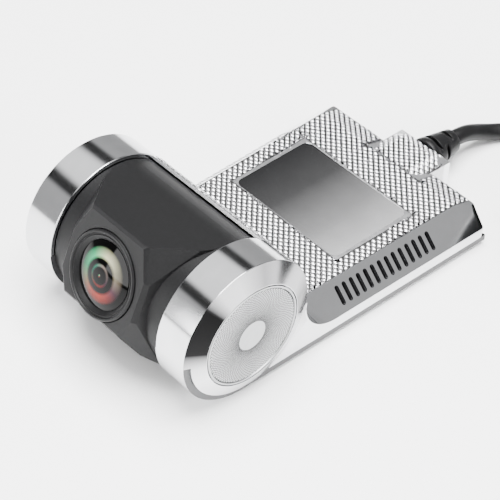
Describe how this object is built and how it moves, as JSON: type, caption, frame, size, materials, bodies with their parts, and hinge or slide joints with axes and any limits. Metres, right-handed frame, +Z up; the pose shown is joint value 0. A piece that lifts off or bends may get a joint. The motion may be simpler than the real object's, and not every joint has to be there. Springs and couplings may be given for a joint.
{
  "type": "dash camera",
  "caption": "Stick-on dash camera: a tilting lens barrel between two chromed end rings, on a flat vented body with a knurled cover and a moulded-on USB lead.",
  "frame": {"origin": "centre of the adhesive pad's outer face", "axes": "+X along the barrel to the button end, -Y the way the lens looks, +Z up from the pad"},
  "size_m": [0.1101, 0.1307, 0.0318],
  "materials": {
    "chrome": "bright chrome plating",
    "knurled_metal": "chromed raised diamond knurl with darker grooves",
    "end_disc": "satin silver with a fine turned pattern and a bright rim",
    "mirror_panel": "glossy silvered panel",
    "satin_black": "satin black moulded plastic with a fine texture",
    "gloss_black": "glossy black",
    "coated_glass": "anti-reflection coated glass",
    "steel": "bright steel",
    "brass": "plain brass and gold plate",
    "circuit_board": "green solder mask",
    "pale_plastic": "ivory connector plastic",
    "ribbon": "amber polyimide film",
    "foam": "black adhesive foam",
    "thermal": "soft grey-blue pad",
    "spreader": "plain rolled aluminium",
    "ceramic": "fired ceramic",
    "ferrite": "dark ferrite",
    "cable_black": "satin black soft PVC",
    "wire_red": "red and black wire insulation"
  },
  "bodies": {
    "housing": {"side_frame_left": "chrome", "side_frame_right": "chrome", "knurled_cover": "knurled_metal", "bottom_shell": "chrome", "inset_panel": "mirror_panel", "adhesive_pad": "foam", "end_cap_left": "end_disc", "button_switch": "steel", "switch_board": "circuit_board", "pivot_bushes": "brass", "friction_springs": "steel", "ribbon_cable": "ribbon", "board_socket": "pale_plastic", "main_board": "circuit_board", "processor": "gloss_black", "thermal_pad": "thermal", "heat_spreader": "spreader", "memory_chip": "gloss_black", "power_coil": "ferrite", "capacitors": "ceramic", "crystal": "steel", "microphone": "brass", "card_socket": "steel", "lead_socket": "pale_plastic", "board_screws": "steel", "case_screws": "steel", "cable_clamp": "satin_black", "clamp_screws": "steel", "lead_wires": "wire_red", "cable_core": "cable_black", "cable_boot": "cable_black", "usb_cable": "cable_black", "cable_coil": "cable_black", "cable_tie": "satin_black", "plug_body": "cable_black", "plug_shell": "steel", "plug_tongue": "pale_plastic", "plug_contacts": "brass"},
    "head": {"pivot_clips": "steel", "pivot_journals": "steel", "head_front_shell": "satin_black", "head_rear_shell": "satin_black", "head_screws": "steel", "lens_bezel": "satin_black", "front_glass": "coated_glass", "lens_barrel": "gloss_black", "second_lens": "coated_glass", "rear_lens": "coated_glass", "lens_spacer": "gloss_black", "lens_holder": "satin_black", "infrared_filter": "coated_glass", "image_sensor": "gloss_black", "sensor_board": "circuit_board", "sensor_screws": "steel", "ribbon_socket": "pale_plastic", "sensor_ribbon": "ribbon"},
    "button": {"end_button": "end_disc", "switch_plunger": "satin_black"},
    "card": {"memory_card": "gloss_black"}
  },
  "joints": [
    {"name": "head_tilt", "type": "hinge", "parent": "housing", "child": "head", "pos_m": [0, -0.0335, 0.016], "axis": [-1, 0, 0], "range_deg": [-35, 45]},
    {"name": "button_press", "type": "slide", "parent": "housing", "child": "button", "axis": [-1, 0, 0], "range_m": [0, 0.0005], "stiffness_N_per_m": 1500},
    {"name": "card_slide", "type": "slide", "parent": "housing", "child": "card", "axis": [0, 1, 0], "range_m": [0, 0.012]}
  ]
}
